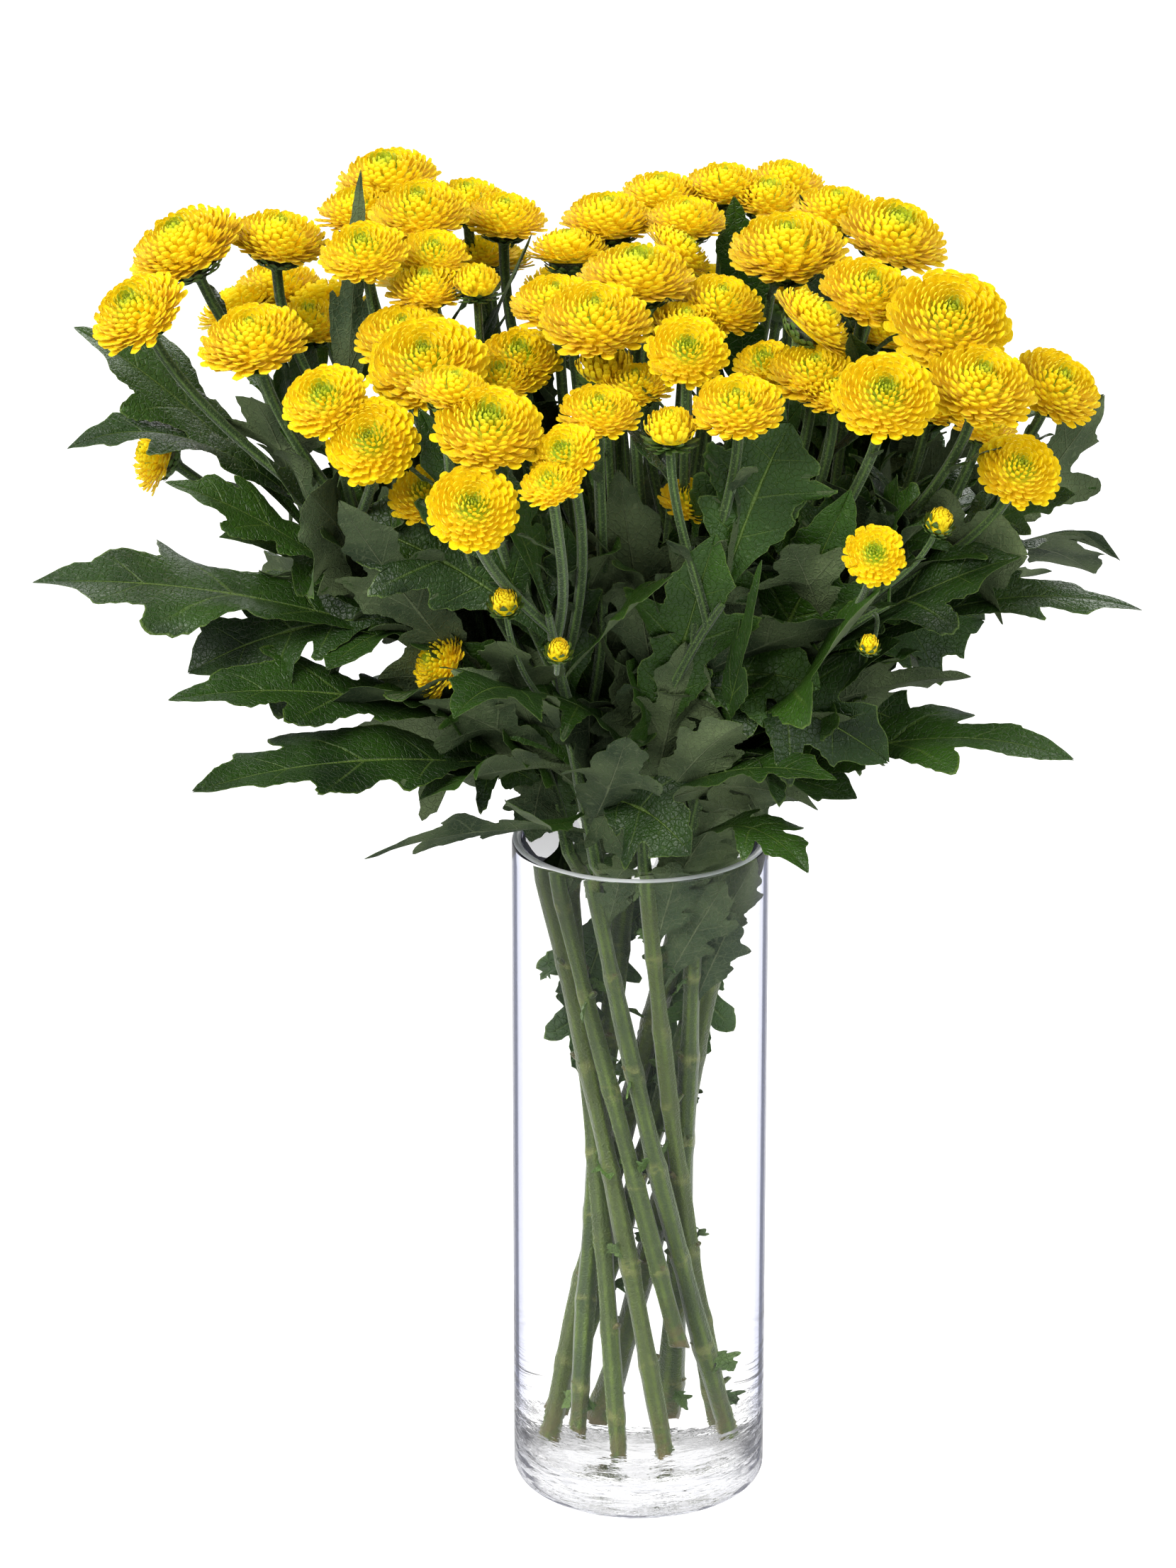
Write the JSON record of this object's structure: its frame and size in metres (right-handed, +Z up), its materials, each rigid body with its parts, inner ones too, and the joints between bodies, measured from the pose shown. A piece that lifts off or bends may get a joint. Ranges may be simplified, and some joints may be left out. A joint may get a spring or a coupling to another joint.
{
  "type": "vase of chrysanthemums",
  "caption": "Tall clear glass cylinder vase of water with cut spray chrysanthemums: small domed yellow button flower heads over lobed dark green leaves",
  "frame": {"origin": "middle of the vase's flat underside, on the vase's axis", "axes": "+Z up along the vase's axis, -Y towards the side that the reference view shows, +X to its right"},
  "size_m": [0.4184, 0.2839, 0.5285],
  "materials": {
    "glass": "clear polished glass",
    "water": "clear still water",
    "leaf": "semi-gloss dark green leaves, grey-green undersides, ridged hairy stalks",
    "petal": "soft matte lemon yellow petals with yellow-green centres"
  },
  "bodies": {
    "root": {"vase": "glass", "water": "water", "leafy_stem_a": "leaf", "leafy_stem_b": "leaf", "leafy_stem_c": "leaf", "leafy_stem_d": "leaf", "leafy_stem_e": "leaf", "leafy_stem_f": "leaf", "leafy_stem_g": "leaf", "leafy_stem_h": "leaf", "leafy_stem_i": "leaf", "leafy_stem_j": "leaf", "bloom_01": "petal", "bloom_02": "petal", "bloom_03": "petal", "bloom_04": "petal", "bloom_05": "petal", "bloom_06": "petal", "bloom_07": "petal", "bloom_08": "petal", "bloom_09": "petal", "bloom_10": "petal", "bloom_11": "petal", "bloom_12": "petal", "bloom_13": "petal", "bloom_14": "petal", "bloom_15": "petal", "bloom_16": "petal", "bloom_17": "petal", "bloom_18": "petal", "bloom_19": "petal", "bloom_20": "petal", "bloom_21": "petal", "bloom_22": "petal", "bloom_23": "petal", "bloom_24": "petal", "bloom_25": "petal", "bloom_26": "petal", "bloom_27": "petal", "bloom_28": "petal", "bloom_29": "petal", "bloom_30": "petal", "bloom_31": "petal", "bloom_32": "petal", "bloom_33": "petal", "bloom_34": "petal", "bloom_35": "petal", "bloom_36": "petal", "bloom_37": "petal", "bloom_38": "petal", "bloom_39": "petal", "bloom_40": "petal", "bloom_41": "petal", "bloom_42": "petal", "bloom_43": "petal", "bloom_44": "petal", "bloom_45": "petal", "bloom_46": "petal", "bloom_47": "petal", "bloom_48": "petal"}
  },
  "joints": []
}
